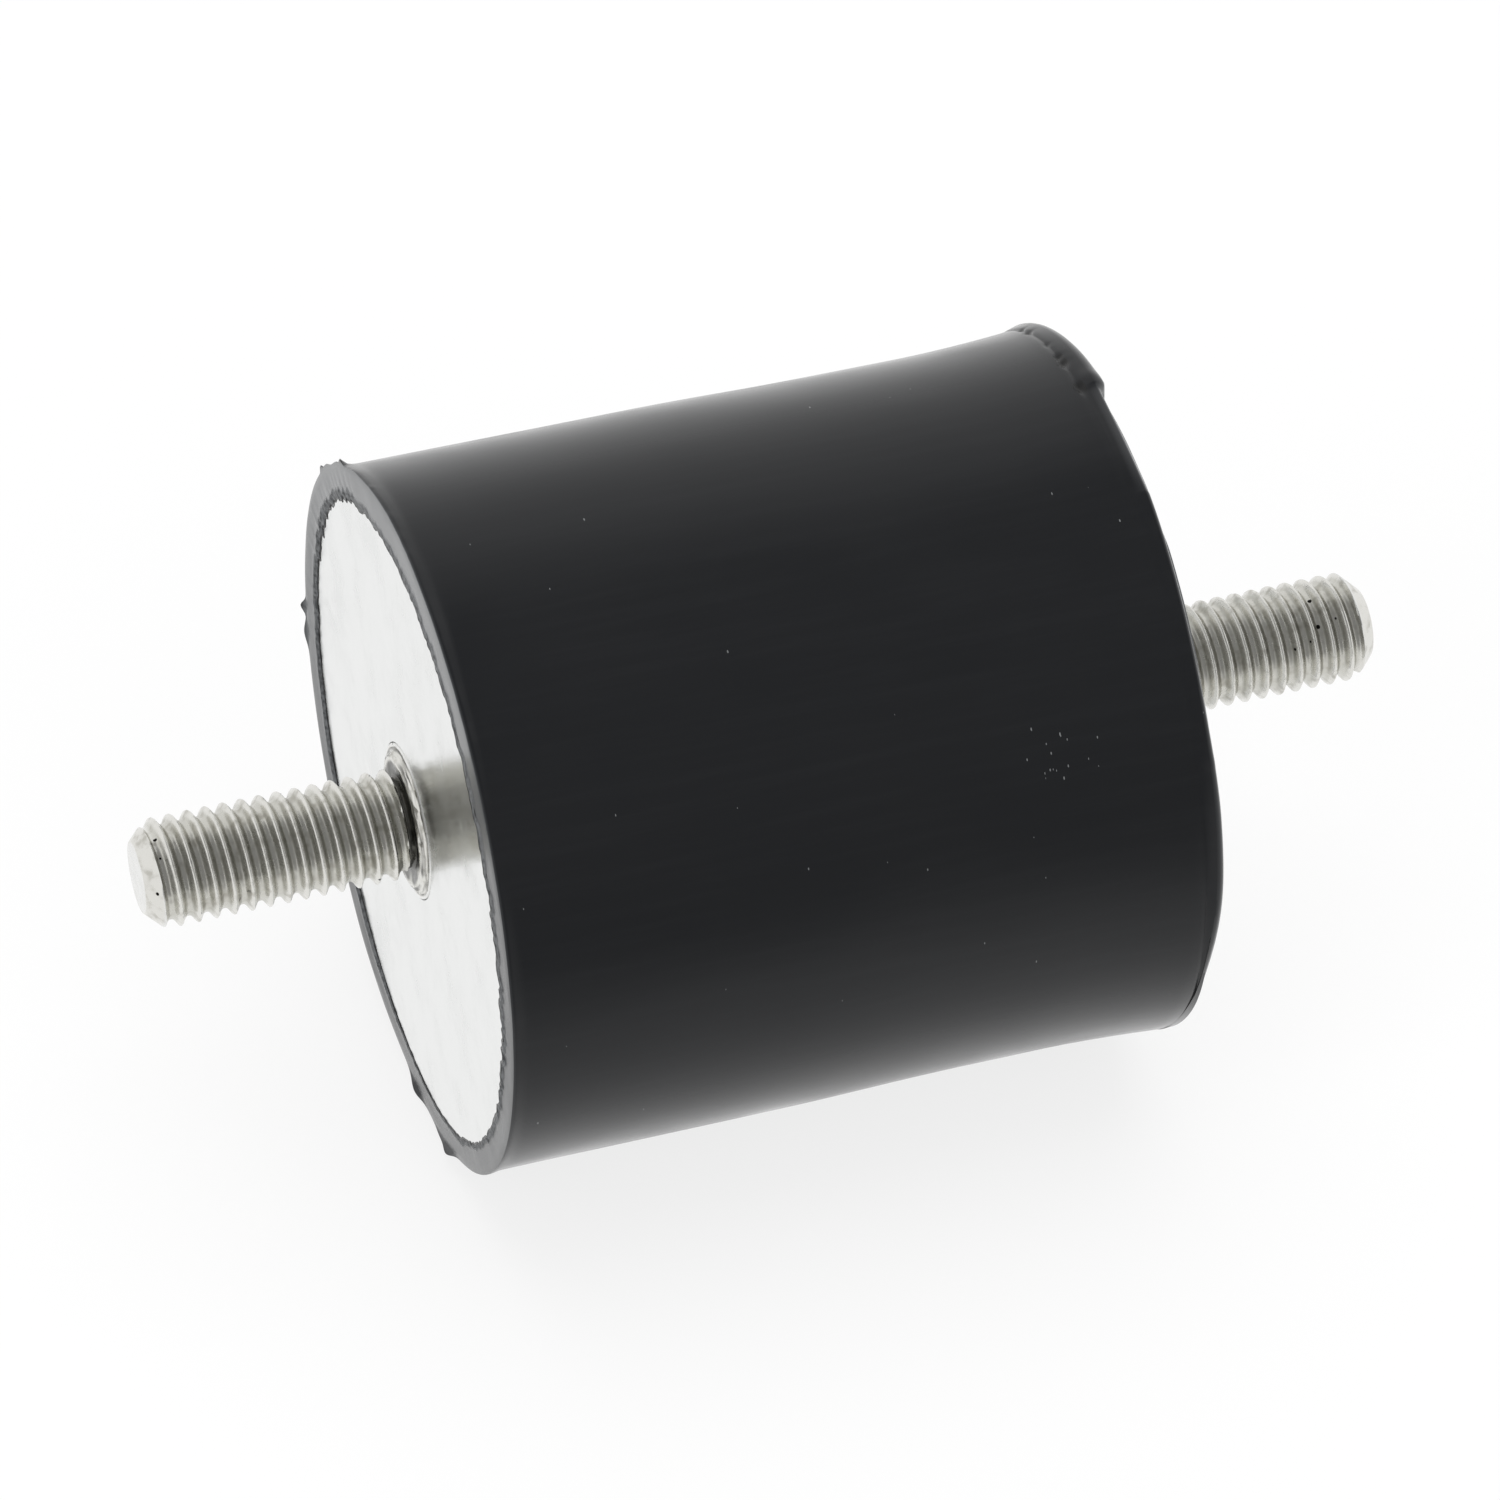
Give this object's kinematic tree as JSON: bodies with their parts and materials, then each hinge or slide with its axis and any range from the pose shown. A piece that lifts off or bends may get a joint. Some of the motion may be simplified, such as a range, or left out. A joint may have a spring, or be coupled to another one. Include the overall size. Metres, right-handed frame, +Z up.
{
  "type": "cylindrical rubber vibration mount",
  "caption": "Waisted rubber cylinder bonded between round steel end plates, with a coaxial metric stud out of each end, for isolating machinery from its base.",
  "frame": {"origin": "middle of the rubber body on its axis, midway between the outer faces of the end plates", "axes": "+X along the common axis of the studs, towards the end with the rounded lip; +Z up as the mount lies on its side"},
  "size_m": [0.088, 0.05, 0.05],
  "materials": {
    "natural_rubber": "moulded, matt to satin",
    "plated_disc": "bright zinc plated, fine pits",
    "plated_stud": "bright zinc plated, rolled thread"
  },
  "bodies": {
    "root": {"rubber_body": "natural_rubber", "left_plate": "plated_disc", "right_plate": "plated_disc", "left_stud": "plated_stud", "right_stud": "plated_stud"}
  },
  "joints": []
}
